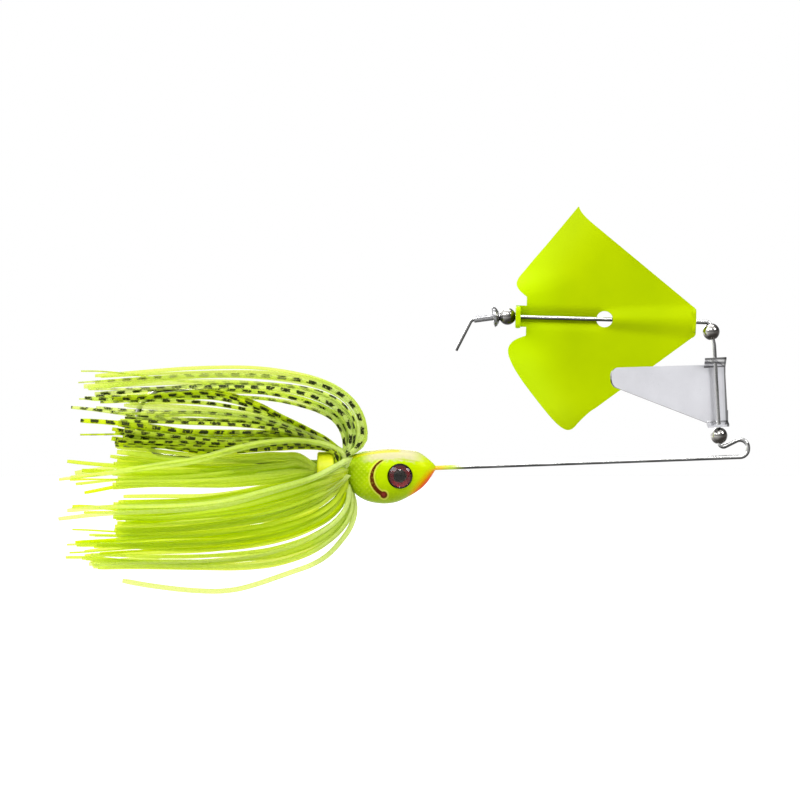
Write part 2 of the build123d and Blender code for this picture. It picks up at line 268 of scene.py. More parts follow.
def clacker_metal():
    """Brushed sheet: satin on the flat of the wing, shinier on the folds, which carry painted
    shade below and painted highlight above.
    """
    g = Graph("clacker_metal")
    stretch = g.node("Mapping", {"Vector": g.place, "Scale": (90.0, 90.0, 1800.0)})
    grain = g.noise(1.0, 5.0, stretch.outputs[0])
    cloud = g.noise(110.0, 3.0)
    colour = g.mix(g.span(cloud, 0.3, 0.7, 0.0, 1.0), srgb(208, 208, 213), srgb(223, 223, 228))
    scuff = g.span(g.noise(2600.0, 2.0), 0.62, 0.75, 0.0, 0.12)
    colour = g.mix(scuff, colour, srgb(150, 150, 154))
    x_mm = g.in_mm(g.x)
    z_mm = g.in_mm(g.z)
    painted_highlight = (0.80, 0.80, 0.80)

    # painted shade and highlight: folds are dark below and bright above, and the ear has bright
    # bands of painted highlight
    flat = g.ease(g.absolute(g.lean(*CLACKER_FACING)), 0.90, 0.97)
    fold = g.mix(g.ease(g.lean(0.0, 0.0, 1.0), -0.3, 0.6), (0.16, 0.16, 0.165), painted_highlight)
    highlight_bands = g.ease(g.math("SINE", g.times(z_mm, 6.6)), -0.2, 0.5)
    ear = g.math("GREATER_THAN", z_mm, CLACKER_EAR_Z)
    fold = g.mix(g.times(highlight_bands, ear), fold, painted_highlight)
    colour = g.mix(flat, fold, colour)

    # a shaded strip and a dark line along the outer edge, which leans with height
    below_ear = g.minus(18.0, z_mm)
    outward = g.minus(x_mm, g.times(below_ear, 0.037))
    strip = g.ease(outward, -4.1, -3.7)
    colour = g.mix(g.times(strip, 0.22), colour, (0.30, 0.30, 0.31))
    edge = g.ease(outward, -3.45, -3.3)
    colour = g.mix(g.times(edge, 0.8), colour, (0.05, 0.05, 0.05))
    rough = g.plus(g.span(grain, 0.3, 0.7, 0.10, 0.20), g.times(flat, 0.30))
    metallic = g.span(flat, 0.0, 1.0, 1.0, 0.35)
    return g.principled(Base_Color=colour, Metallic=metallic, Roughness=rough,
                        Normal=g.bump(grain, 0.10, 0.008))


def bead_metal():
    """Polished beads, with painted light where they face up and to the upper left and painted
    shade where they face down.
    """
    g = Graph("bead_metal")
    haze = g.noise(900.0, 4.0)
    # painted light and shade: lighter facing up and to the upper left, darker facing down
    light = g.plus(g.lean(-0.50, -0.20, 0.84), g.span(haze, 0.3, 0.7, -0.1, 0.1))
    colour = g.mix(g.ease(light, -0.30, 0.90), (0.05, 0.045, 0.04), (0.74, 0.72, 0.69))
    rough = g.span(haze, 0.3, 0.75, 0.05, 0.14)
    return g.principled(Base_Color=colour, Metallic=1.0, Roughness=rough,
                        Normal=g.bump(g.noise(1600.0, 3.0), 0.05, 0.006))


def rivet_metal():
    """Dull aluminium, with painted shade that darkens it where it faces down."""
    g = Graph("rivet_aluminium")
    haze = g.noise(1200.0, 4.0)
    colour = g.mix(g.span(haze, 0.35, 0.7, 0.0, 1.0), (0.42, 0.42, 0.43), (0.58, 0.58, 0.59))
    # painted shade: darker where the surface faces down
    light = g.ease(g.lean(-0.30, -0.30, 0.90), -0.60, 0.45)
    colour = g.mix(light, (0.10, 0.10, 0.10), colour)
    rough = g.span(haze, 0.3, 0.75, 0.18, 0.34)
    return g.principled(Base_Color=colour, Metallic=1.0, Roughness=rough,
                        Normal=g.bump(haze, 0.10, 0.006))


def collar_rubber():
    """Soft moulded rubber, warmer underneath."""
    g = Graph("collar_rubber")
    cloud = g.noise(420.0, 3.0)
    low = g.ease(g.in_mm(g.z), -4.0, -8.5)
    colour = g.mix(g.span(cloud, 0.3, 0.7, 0.0, 1.0), srgb(224, 236, 10), srgb(246, 246, 30))
    colour = g.mix(g.times(low, 0.6), colour, srgb(214, 190, 20))
    normal = g.bump(g.noise(1500.0, 3.0), 0.15, 0.05)
    return g.principled(Base_Color=colour, Roughness=0.42, Normal=normal,
                        Subsurface_Weight=0.2, Subsurface_Radius=(0.001, 0.001, 0.0004),
                        Subsurface_Scale=1.0)


def head_paint():
    """Chartreuse sides, cream back, orange chin, red cheek marks and a scaled rear."""
    g = Graph("head_paint")
    x_mm = g.in_mm(g.x)
    z_mm = g.in_mm(g.z)
    blur = g.sway(260.0, 0.9, 3.0)
    height = g.plus(z_mm, blur)

    # chartreuse sides, deeper below, lighter in front and patchy behind
    side = g.mix(g.ease(height, -11.5, -6.5), (0.32, 0.48, 0.0), (0.44, 0.64, 0.0))
    side = g.mix(g.ease(x_mm, -73.5, -69.5), side, (0.56, 0.71, 0.0))
    patchy = g.plus(x_mm, g.span(g.noise(420.0, 3.0), 0.35, 0.65, -2.0, 2.0))
    side = g.mix(g.ease(patchy, -79.5, -83.5), side, (0.30, 0.47, 0.0))

    # cream back, an olive line along its ridge and a fine line over the brow
    mottled = g.plus(height, g.sway(900.0, 2.4))
    cream = g.ease(mottled, -3.3, -2.1)
    cream = g.times(cream, g.ease(x_mm, -84.0, -80.5))
    cream = g.times(cream, g.ease(g.plus(x_mm, blur), -68.0, -72.6))
    colour = g.mix(g.times(cream, 0.95), side, (0.60, 0.55, 0.33))
    from_peak = g.plus(x_mm, 74.7)
    ridge = g.times(g.times(from_peak, from_peak), -0.012)
    off_ridge = g.absolute(g.minus(g.plus(z_mm, 0.58), ridge))
    ridge_line = g.times(g.ease(off_ridge, 0.42, 0.16), g.ease(x_mm, -74.2, -75.4))
    colour = g.mix(g.times(ridge_line, 0.8), colour, (0.60, 0.56, 0.0))
    brow_height = g.plus(g.times(g.plus(x_mm, 72.6), -0.14), -2.65)
    off_brow = g.absolute(g.minus(z_mm, brow_height))
    brow = g.times(g.ease(off_brow, 0.22, 0.08), g.ease(x_mm, -75.9, -75.0))
    brow = g.times(brow, g.ease(x_mm, -70.0, -70.8))
    colour = g.mix(g.times(brow, 0.7), colour, (0.45, 0.52, 0.03))

    # orange chin, redder at its front
    toward_chin = g.minus(g.times(x_mm, 0.75), g.times(z_mm, 0.66))
    toward_chin = g.plus(toward_chin, g.times(blur, 0.3))
    front = g.times(g.ease(z_mm, -3.9, -5.2), g.ease(x_mm, -73.9, -72.0))
    warm = g.times(g.ease(toward_chin, -48.8, -47.5), front)
    colour = g.mix(g.times(warm, 0.8), colour, (0.78, 0.40, 0.0))
    hot = g.times(g.ease(toward_chin, -47.9, -46.9), front)
    colour = g.mix(hot, colour, (0.80, 0.09, 0.0))

    # cheek mark: an arc that thickens downwards, with a blob at its lower end
    arc = g.absolute(g.minus(g.distance(CHEEK_MARK_X, CHEEK_MARK_Z), CHEEK_MARK_R))
    behind = g.times(g.ease(x_mm, -78.0, -78.8), g.ease(z_mm, -2.2, -2.8))
    arc = g.minus(arc, g.span(z_mm, -2.5, -7.0, 0.0, 0.30))
    arc_line = g.times(g.ease(arc, 0.24, 0.08), behind)
    arc_rim = g.times(g.ease(arc, 0.60, 0.36), behind)
    from_blob = g.distance(-78.35, -10.2)
    blob = g.ease(from_blob, 0.90, 0.68)
    blob_rim = g.ease(from_blob, 1.25, 1.02)
    mark = g.math("MAXIMUM", arc_line, blob)
    rim = g.math("MAXIMUM", arc_rim, blob_rim)
    # painted highlight: a pale rim round the mark along the edge of its groove; the same rim is
    # also bumped as relief
    colour = g.mix(g.times(rim, 0.5), colour, (0.80, 0.72, 0.12))
    middle = g.ease(g.distance(-78.4, -10.1), 0.6, 0.2)
    red = g.mix(middle, (0.105, 0.006, 0.003), (0.22, 0.010, 0.02))
    colour = g.mix(mark, colour, red)

    # scales on the rear of the head, as a lattice of crossing waves
    radians_per_mm = 2.7
    rise = g.times(z_mm, radians_per_mm)
    run = g.times(x_mm, radians_per_mm)
    wave_a = g.math("SINE", g.plus(run, rise))
    wave_b = g.math("SINE", g.minus(run, rise))
    lattice = g.math("MAXIMUM", g.absolute(wave_a), g.absolute(wave_b))
    rear = g.ease(x_mm, -79.4, -81.6)
    scales = g.times(g.minus(1.0, lattice), rear)
    colour = g.mix(g.times(scales, 0.35), colour, (0.62, 0.76, 0.06))

    rough = g.span(g.noise(900.0, 3.0), 0.3, 0.7, 0.22, 0.34)
    normal = g.bump(scales, 0.6, 0.12)
    normal = g.bump(g.noise(330.0, 2.0), 0.10, 0.06, normal)
    normal = g.bump(rim, 0.5, 0.12, normal)
    return g.principled(Base_Color=colour, Roughness=rough, Normal=normal,
                        Specular_Tint=(0.95, 0.90, 0.08, 1.0),
                        Specular_IOR_Level=g.span(warm, 0.0, 1.0, 0.30, 0.06))


def eye_foil():
    """Printed eye: black pupil, dark red iris that is lighter below, and a near-black ring."""
    g = Graph("eye_foil")
    r = g.distance(EYE_X, EYE_Z)
    grain = g.noise(2500.0, 3.0)
    low = g.ease(g.in_mm(g.z), -6.0, -8.5)
    iris = g.mix(low, (0.18, 0.001, 0.004), (0.42, 0.002, 0.012))
    iris = g.mix(g.span(grain, 0.4, 0.7, 0.0, 0.5), iris, (0.07, 0.004, 0.004))
    ripple = g.plus(r, g.sway(1800.0, 0.5))
    colour = g.mix(g.ease(ripple, 1.50, 1.20), iris, (0.012, 0.014, 0.007))
    colour = g.mix(g.ease(r, 2.15, 2.40), colour, (0.035, 0.004, 0.003))
    rough = g.span(grain, 0.3, 0.7, 0.25, 0.4)
    return g.principled(Base_Color=colour, Metallic=0.3, Roughness=rough,
                        Specular_IOR_Level=0.1, Normal=g.bump(grain, 0.1, 0.02))


def eye_resin():
    """Clear resin lens with a faint haze."""
    g = Graph("eye_resin")
    haze = g.noise(700.0, 2.0)
    rough = g.span(haze, 0.3, 0.7, 0.01, 0.04)
    return g.principled(Base_Color=(0.92, 0.86, 0.84), Roughness=rough, IOR=1.40,
                        Transmission_Weight=1.0, Normal=g.bump(haze, 0.02, 0.02))


# ---------------------------------------------------------------- silicone of the strands

def skirt_silicone():
    """Clear-tinted silicone: pale as one strand, strong chartreuse where strands overlap."""
    g = Graph("skirt_silicone")
    along = g.node("Attribute", attribute_name="along").outputs["Fac"]
    across = g.node("Attribute", attribute_name="across").outputs["Fac"]
    barred = g.node("Attribute", attribute_name="barred").outputs["Fac"]
    pale = g.node("Attribute", attribute_name="pale").outputs["Fac"]
    fine = g.noise(1400.0, 3.0)

    # painted light: pale strands are lit copies of the silicone, for strands whose flat side
    # catches the light
    body = g.mix(pale, (0.73, 0.88, 0.0), (0.84, 0.96, 0.38))
    body = g.mix(g.span(fine, 0.35, 0.65, 0.0, 0.3), body, (0.62, 0.78, 0.0))
    body = g.mix(g.times(barred, 0.25), body, (0.42, 0.62, 0.08))
    tint = g.mix(pale, (0.94, 0.975, 0.12), (0.98, 1.0, 0.60))
    # painted shade: the edges of each strand are darker
    rim = g.ease(g.absolute(across), 0.70, 0.95)
    body = g.mix(g.times(rim, 0.42), body, (0.42, 0.60, 0.02))

    ragged = g.sway(1500.0, 0.75, 3.0)
    phase = g.math("FRACT", g.plus(along, ragged))
    length = g.ease(g.absolute(g.minus(phase, 0.5)), 0.29, 0.23)
    width = g.ease(g.absolute(g.plus(across, ragged)), 0.85, 0.55)
    worn = g.ease(g.noise(2400.0, 2.0), 0.70, 0.60)
    bar = g.times(g.times(length, width), g.times(barred, worn))
    body = g.mix(bar, body, (0.010, 0.018, 0.006))

    normal = g.bump(fine, 0.10, 0.02)
    shell = g.node("BsdfPrincipled", {"Base Color": body, "Roughness": 0.34, "Normal": normal,
                                      "Specular IOR Level": 0.4,
                                      "Specular Tint": (0.90, 1.0, 0.25, 1.0)})
    glow = g.node("BsdfTranslucent", {"Color": body, "Normal": normal})
    solid = g.node("MixShader", {0: 0.25, 1: shell.outputs[0], 2: glow.outputs[0]})
    clear = g.node("BsdfTransparent", {"Color": tint})
    near_neck = g.times(g.ease(g.in_mm(g.x), -100.0, -90.0), 0.70)
    cover = g.math("MAXIMUM", g.span(pale, 0.0, 1.0, 0.42, 0.34), bar)
    cover = g.math("MAXIMUM", cover, near_neck)
    return g.surface(g.node("MixShader", {0: cover, 1: clear.outputs[0], 2: solid.outputs[0]}))


# ---------------------------------------------------------------- skirt strands

# Tracks are lines that strands follow in the side view, as x and z in millimetres.  Each has
# the share of its strands that are barred and how pale they are, the paleness being painted
# light.  Strands are laid between neighbouring tracks of one group.
TOP_PLUME = [
    (0.10, 1.0, [(-86.2, -1.5), (-82.9, 0.3), (-82.1, 3.8), (-83.0, 7.6), (-85.8, 11.6),
                 (-90.6, 14.6), (-97.0, 16.4), (-106.3, 17.4), (-118.8, 17.1), (-132.0, 16.4),
                 (-146.0, 15.7)]),
    (0.40, 1.0, [(-86.7, -1.7), (-84.7, 0.5), (-84.3, 4.0), (-85.4, 8.0), (-89.3, 11.7),
                 (-96.8, 14.1), (-107.8, 15.2), (-118.8, 15.2), (-132.0, 15.0), (-146.0, 14.6)]),
    (0.60, 0.8, [(-86.9, -1.9), (-86.2, 0.7), (-86.4, 4.3), (-88.3, 7.4), (-93.2, 10.2),
                 (-101.0, 12.2), (-111.1, 12.9), (-118.8, 12.9), (-132.0, 12.4), (-146.0, 12.2)]),
    (0.40, 0.8, [(-87.2, -1.9), (-87.2, 0.9), (-88.0, 4.0), (-90.6, 6.6), (-95.0, 8.4),
                 (-103.2, 10.2), (-111.1, 11.2), (-118.8, 11.4), (-132.0, 11.0), (-146.0, 11.6)]),
]
UPPER_FAN = [
    (0.90, 0.3, [(-88.2, -0.6), (-90.6, 1.9), (-96.8, 5.4), (-102.0, 8.0), (-106.3, 10.2),
                 (-112.5, 12.1), (-117.7, 12.6), (-125.4, 11.6), (-134.9, 11.1), (-148.0, 12.1)]),
    (0.35, 0.9, [(-88.2, -0.6), (-91.0, 1.6), (-97.0, 4.6), (-101.8, 6.5), (-106.3, 7.8),
                 (-115.8, 9.2), (-125.4, 9.9), (-134.9, 10.2), (-149.2, 11.4)]),
    (0.40, 0.9, [(-88.4, -0.6), (-91.3, 1.3), (-94.9, 2.6), (-101.5, 4.9), (-108.7, 6.4),
                 (-120.6, 7.3), (-132.5, 7.1), (-147.8, 7.8)]),
    (0.90, 0.3, [(-88.4, -0.7), (-91.3, 1.1), (-94.4, 2.3), (-98.5, 3.2), (-103.9, 3.6),
                 (-111.1, 3.7), (-120.6, 3.9), (-127.3, 4.8), (-137.3, 6.3), (-147.3, 7.1)]),
    (0.75, 0.3, [(-88.6, -0.9), (-91.6, 0.9), (-96.0, 1.9), (-103.0, 2.3), (-111.0, 2.0),
                 (-119.0, 2.2), (-127.0, 2.8), (-136.0, 3.4), (-146.0, 3.6)]),
    (0.90, 0.2, [(-88.8, -1.2), (-91.8, 0.2), (-94.6, 0.5), (-100.6, 0.6), (-109.2, -0.4),
                 (-115.8, 0.2), (-123.5, 1.4), (-131.1, 2.2), (-146.0, 2.6)]),
]
HUMP = [
    (0.0, 1.0, [(-86.7, -1.5), (-90.2, 1.2), (-97.2, 2.6), (-105.4, 1.9), (-112.2, 0.3),
                (-118.8, -1.5), (-129.8, -3.0), (-138.6, -4.3), (-148.0, -5.4)]),
    (0.0, 0.7, [(-87.0, -2.0), (-91.0, 0.2), (-98.0, 1.2), (-106.0, 0.4), (-113.0, -1.2),
                (-120.0, -3.0), (-130.0, -4.6), (-139.0, -6.0), (-148.0, -7.4)]),
]
CLUSTER = [
    (1.0, 0.0, [(-88.8, -1.0), (-92.0, 0.5), (-97.0, 1.3), (-104.0, 1.4), (-112.0, 1.3),
                (-119.0, 1.7), (-127.0, 2.5), (-138.0, 3.9)]),
    (1.0, 0.0, [(-88.8, -1.2), (-92.0, 0.0), (-97.0, 0.2), (-104.0, -0.3), (-112.0, -0.6),
                (-119.0, -0.3), (-127.0, 0.7), (-138.0, 2.0)]),
]
MIDDLE = [
    (0.35, 0.6, [(-97.0, -1.5), (-103.4, -1.2), (-110.0, -1.6), (-118.8, -1.4),
                 (-127.0, -0.3), (-136.0, 0.9), (-149.5, 2.4)]),
    (0.05, 0.3, [(-97.2, -2.9), (-102.0, -3.3), (-108.0, -3.8), (-118.8, -4.3), (-130.0, -4.2),
                 (-140.0, -3.6), (-149.0, -2.6)]),
    (0.0, 0.3, [(-97.2, -4.4), (-101.0, -5.0), (-105.6, -5.4), (-118.8, -6.3), (-134.2, -7.2),
                (-149.8, -8.6)]),
    (0.0, 0.5, [(-97.0, -6.5), (-101.0, -7.4), (-105.5, -8.0), (-112.5, -8.4), (-120.0, -8.2),
                (-134.0, -8.0), (-149.8, -9.4)]),
]
RIBBONS = [
    (0.0, 0.5, [(-86.6, -4.6), (-90.0, -5.2), (-94.0, -6.0), (-99.0, -7.3), (-106.0, -8.9),
                (-112.5, -10.2), (-120.0, -11.0), (-132.0, -11.2), (-149.8, -11.2)]),
    (0.0, 0.2, [(-86.4, -5.0), (-90.0, -6.4), (-94.0, -7.4), (-99.0, -9.0), (-109.0, -11.4),
                (-118.8, -12.6), (-132.0, -13.4), (-149.8, -13.6)]),
    (0.05, 0.1, [(-86.4, -5.8), (-90.2, -7.8), (-97.5, -10.6), (-108.0, -13.4), (-118.8, -14.8),
                 (-132.0, -15.6), (-149.0, -15.8)]),
    (0.05, 0.3, [(-86.6, -6.8), (-89.8, -9.6), (-95.6, -12.8), (-105.4, -15.9), (-118.8, -17.8),
                 (-134.2, -18.6), (-148.7, -18.8)]),
]
SWEEP = [
    (0.0, 0.6, [(-85.8, -5.6), (-89.5, -8.6), (-95.3, -11.6), (-105.4, -14.4), (-118.8, -16.2),
                (-134.2, -17.0), (-148.7, -17.0)]),
    (0.10, 0.5, [(-86.6, -6.6), (-89.2, -10.0), (-94.2, -13.6), (-104.2, -17.0), (-118.8, -19.0),
                 (-134.2, -19.6), (-148.7, -19.6)]),
]
FRONT_RIBBON = [
    (0.0, 1.0, [(-85.4, -2.0), (-89.5, -4.0), (-94.4, -6.3), (-103.9, -8.8), (-112.0, -10.9),
                (-120.6, -11.8), (-137.3, -12.3), (-150.0, -13.7)]),
    (0.0, 1.0, [(-85.6, -2.6), (-89.8, -4.8), (-94.8, -7.2), (-104.0, -10.0), (-112.0, -12.3),
                (-120.6, -13.4), (-137.3, -14.4), (-150.0, -15.9)]),
]
BELL = [
    (0.0, 0.3, [(-86.6, -6.8), (-88.6, -10.4), (-93.6, -14.0), (-103.4, -17.0), (-118.8, -19.0),
                (-134.2, -19.6), (-148.7, -19.6)]),
    (0.0, 0.4, [(-86.5, -7.9), (-86.9, -11.4), (-90.4, -15.6), (-97.9, -19.2), (-107.8, -21.3),
                (-118.8, -22.1), (-134.2, -22.4), (-149.6, -23.4)]),
]
LOW_BELL = [
    (0.0, 0.9, [(-86.2, -8.2), (-86.4, -12.0), (-89.4, -16.0), (-95.8, -19.7), (-104.5, -22.3),
                (-112.0, -23.4), (-120.0, -24.2), (-134.2, -24.6), (-148.0, -24.8)]),
    (0.0, 0.6, [(-86.0, -8.5), (-85.8, -12.6), (-88.2, -17.0), (-94.4, -21.2), (-103.0, -23.6),
                (-112.0, -24.4), (-120.0, -24.6), (-134.2, -24.6), (-148.0, -24.4)]),
    (0.0, 0.9, [(-85.8, -8.7), (-85.1, -13.1), (-87.3, -17.8), (-92.8, -22.6), (-101.2, -25.6),
                (-110.0, -26.6), (-118.8, -26.7), (-134.2, -26.8), (-147.8, -27.2)]),
]
BOTTOM = [
    (0.0, 1.0, [(-85.8, -9.2), (-84.7, -14.0), (-86.5, -18.6), (-91.8, -24.4), (-99.9, -27.7),
                (-110.4, -31.0), (-118.8, -31.4), (-129.4, -30.3), (-139.0, -28.6)]),
    (0.0, 1.0, [(-85.8, -9.2), (-84.7, -14.0), (-86.6, -18.8), (-92.2, -24.2), (-100.4, -27.6),
                (-110.6, -30.6), (-118.8, -31.0), (-129.4, -29.9), (-139.0, -28.2)]),
]

# group, strands on the near and on the far side, how far they lie from the middle plane as a
# share of the skirt's half width, where the scissors cut most of them, the share left long, and
# how loosely they keep to their tracks
STRAND_GROUPS = [
    (TOP_PLUME, 11, 5, (0.05, 0.75), (-145.5, -138.0), 0.15, 1.0),
    (UPPER_FAN, 20, 13, (0.25, 0.90), (-138.0, -134.5), 0.30, 1.0),
    (CLUSTER, 10, 6, (0.45, 0.92), (-138.0, -134.5), 0.0, 0.8),
    (HUMP, 2, 1, (1.00, 1.08), (-147.0, -143.0), 0.4, 0.5),
    (MIDDLE, 18, 12, (0.45, 0.95), (-137.4, -135.6), 0.25, 1.0),
    (RIBBONS, 17, 13, (0.35, 0.92), (-137.6, -136.2), 0.22, 1.0),
    (SWEEP, 6, 4, (0.55, 1.00), (-137.6, -136.2), 0.2, 1.0),
    (FRONT_RIBBON, 2, 0, (1.00, 1.05), (-149.0, -136.0), 0.3, 0.4),
    (BELL, 10, 7, (0.15, 0.95), (-145.5, -140.0), 0.20, 1.0),
    (LOW_BELL, 9, 6, (0.10, 0.95), (-145.5, -140.0), 0.25, 1.0),
    (BOTTOM, 1, 0, (0.02, 0.10), (-136.6, -136.0), 0.0, 0.1),
]


def resample(points, count):
    """Evenly spaced points of a smooth curve through the given ones."""
    padded = [points[0] * 2 - points[1]] + points + [points[-1] * 2 - points[-2]]
    dense = []
    for a, b, c, d in zip(padded, padded[1:], padded[2:], padded[3:]):
        for step in range(12):
            t = step / 12
            dense.append(0.5 * (2 * b + (c - a) * t + (2 * a - 5 * b + 4 * c - d) * t ** 2
                                + (3 * b - a - 3 * c + d) * t ** 3))
    dense.append(points[-1])
    lengths = [0.0]
    for a, b in zip(dense, dense[1:]):
        lengths.append(lengths[-1] + (b - a).length)
    even = []
    at = 0
    for i in range(count):
        target = lengths[-1] * i / (count - 1)
        while at < len(dense) - 2 and lengths[at + 1] < target:
            at += 1
        gap = max(1e-9, lengths[at + 1] - lengths[at])
        even.append(dense[at].lerp(dense[at + 1], (target - lengths[at]) / gap))
    return even


def smooth(value, low, high):
    """Smooth step of a value from 0 at low to 1 at high."""
    t = min(1.0, max(0.0, (value - low) / (high - low)))
    return t * t * (3.0 - 2.0 * t)


def clear_radius(x):
    """Least distance from the neck axis that a strand keeps at x."""
    if x < COLLAR_BACK_X - 0.6:
        return 0.0
    if x < COLLAR_FRONT_X + 0.6:
        return COLLAR_R + 0.45
    for (x0, r0), (x1, r1) in zip(HEAD_RADII, HEAD_RADII[1:]):
        if x < x1:
            return r0 + (r1 - r0) * max(0.0, (x - x0) / (x1 - x0)) + 0.35
    return HEAD_RADII[-1][1]


def keep_clear(p, side, margin):
    """Moves a strand point out of the collar and the head."""
    radial = Vector((0.0, p.y, p.z - NECK_AXIS_Z))
    least = clear_radius(p.x) + margin
    if radial.length < least:
        if abs(radial.z) >= least:
            radial = radial.normalized() * least
        else:
            radial.y = side * math.sqrt(least ** 2 - radial.z ** 2)
        p.y = radial.y
        p.z = NECK_AXIS_Z + radial.z


def strand_path(rng, group, slot, side, depth_share, cut_x, loose):
    """One strand's centre line in millimetres, from its root to its cut end, with its bundle's
    angle in degrees, its chance of bars and its paleness."""
    pick = slot * (len(group) - 1)
    first = min(int(pick), len(group) - 2)
    share = pick - first
    barred_a, pale_a, track_a = group[first]
    barred_b, pale_b, track_b = group[first + 1]
    line_a = resample([Vector((x, 0.0, z)) for x, z in track_a], TRACK_POINTS)
    line_b = resample([Vector((x, 0.0, z)) for x, z in track_b], TRACK_POINTS)
    barred = barred_a + (barred_b - barred_a) * share
    pale = pale_a + (pale_b - pale_a) * share
    depth = rng.uniform(*depth_share)
    wave = rng.uniform(0.0, math.tau)
    lift = rng.gauss(0.0, 0.40) * loose
    stray = rng.gauss(0.0, 1.0) * loose
    behind_collar = line_a[0].x < COLLAR_BACK_X
    flare = -0.25 if behind_collar else -0.06
    points = []
    for i, (a, b) in enumerate(zip(line_a, line_b)):
        s = i / (TRACK_POINTS - 1)
        p = a.lerp(b, share)
        free = smooth(s, 0.15, 0.6)
        p.z += free * (lift + 0.35 * loose * math.sin(wave + 5.0 * s))
        p.z += stray * smooth(s, 0.6, 1.0)
        dz = p.z - NECK_AXIS_Z
        reach = SKIRT_REACH_UP if dz > 0 else SKIRT_REACH_DOWN
        half_width = SKIRT_DEPTH_RATIO * math.sqrt(max(0.0, reach ** 2 - dz ** 2)) + 0.8
        out = depth * half_width * smooth(s, flare, 0.42)
        p.y = side * max(0.3, out + 0.8 * free * math.sin(wave * 2 + 4 * s))
        points.append(p)
    middle = points[TRACK_POINTS // 2]
    angle = math.atan2(abs(middle.y), middle.z - NECK_AXIS_Z)
    ring = Vector((0.0, side * math.sin(angle), math.cos(angle)))
    inner_x, outer_x = ROOTS_BEHIND_COLLAR if behind_collar else ROOTS_UNDER_COLLAR
    roots = [Vector((inner_x, 0, NECK_AXIS_Z)) + ring * STRAND_RING_R,
             Vector((outer_x, 0, NECK_AXIS_Z)) + ring * (STRAND_RING_R + 0.15)]
    for p in points:
        keep_clear(p, side, 0.5 * depth)
    path = [p for p in resample(roots + points, ROUTE_POINTS) if p.x > cut_x]
    return resample(path, STRAND_POINTS), math.degrees(angle), barred, pale


def add_strand(rng, build, path, barred, pale, loose):
    """Adds one flat strip with rounded edges along a path, turned a little along its length."""
    twist = rng.uniform(-1.1, 1.1) * loose
    twist_rate = rng.uniform(-2.2, 2.2) * loose
    width = STRAND_WIDTH * (1.08 - rng.uniform(0.0, 0.33) * loose) / 2
    thick = STRAND_THICK / 2
    phase = rng.random()
    profile = [(-1.0, 0.0), (-0.82, 1.0), (0.82, 1.0), (1.0, 0.0), (0.82, -1.0), (-0.82, -1.0)]
    start = len(build["verts"])
    travelled = 0.0
    for i, p in enumerate(path):
        before = path[max(0, i - 1)]
        after = path[min(len(path) - 1, i + 1)]
        tangent = (after - before).normalized()
        radial = Vector((0.0, p.y, p.z - NECK_AXIS_Z)).normalized()
        outward = radial * 0.35 + Vector((0.0, math.copysign(1.0, p.y), 0.0))
        across = tangent.cross(outward).normalized()
        s = i / (len(path) - 1)
        turn = twist + twist_rate * s
        across = Matrix.Rotation(turn * smooth(s, 0.0, 0.2), 3, tangent) @ across
        flat = tangent.cross(across).normalized()
        narrow = 1.0 if i < len(path) - 1 else 0.8
        for u, v in profile:
            build["verts"].append((p + across * (u * width * narrow) + flat * (v * thick)) * MM)
            build["along"].append(travelled / BAR_PITCH + phase)
            build["across"].append(u)
            build["barred"].append(barred)
            build["pale"].append(pale)
        travelled += (after - p).length
    rows, size = len(path), len(profile)
    for i in range(rows - 1):
        for j in range(size):
            k = (j + 1) % size
            a = start + i * size
            build["faces"].append((a + j, a + size + j, a + size + k, a + k))
    build["faces"].append(tuple(start + j for j in range(size)))
    last = start + (rows - 1) * size
    build["faces"].append(tuple(last + j for j in reversed(range(size))))


STRAND_LAYERS = ("along", "across", "barred", "pale")


def make_bundle(word, number, build, material):
    """One object from the strands of a bundle, in the place of that bundle's CAD node."""
    name = "skirt_strands_%s_%d" % (word, number)
    mesh = bpy.data.meshes.new(name)
    mesh.from_pydata(build["verts"], [], build["faces"])
    for key in STRAND_LAYERS:
        layer = mesh.attributes.new(key, "FLOAT", "POINT")
        layer.data.foreach_set("value", build[key])
    mesh.polygons.foreach_set("use_smooth", [True] * len(mesh.polygons))
    mesh.materials.append(material)
    mesh.update()
    piece = bpy.data.objects.new(name, mesh)
    bpy.context.scene.collection.objects.link(piece)
    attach(piece, "frame")
    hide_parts("skirt_bundle_%s_%d" % (word, number))


def make_skirt(material):
    """All strands, each in the bundle whose angle round the neck is nearest."""
    rng = random.Random(11)
    builds = {}
    for word in ("near", "far"):
        for number in BUNDLES:
            builds[word, number] = {key: [] for key in ("verts", "faces") + STRAND_LAYERS}
    for group, near_count, far_count, depth_share, cut, long_share, loose in STRAND_GROUPS:
        for side, word, count in ((-1, "near", near_count), (1, "far", far_count)):
            for place in range(count):
                slot = (place + rng.random()) / count
                cut_x = rng.uniform(*cut)
                if rng.random() < long_share:
                    cut_x = rng.uniform(LONGEST_X, min(cut))
                path, angle, barred, pale = strand_path(rng, group, slot, side, depth_share,
                                                         cut_x, loose)
                number = min(BUNDLES, key=lambda n: abs(BUNDLE_ANGLES[n - 1] - angle))
                barred = 1.0 if rng.random() < barred else 0.0
                pale = min(1.0, max(0.0, pale + rng.gauss(0.0, 0.2)))
                add_strand(rng, builds[word, number], path, barred, pale, loose)
    for (word, number), build in builds.items():
        make_bundle(word, number, build, material)


# ---------------------------------------------------------------- dressing the CAD nodes

def dress(node, material):
    """Puts a material on a CAD node."""
    piece = nodes[node]
    piece.data.materials.clear()
    piece.data.materials.append(material)


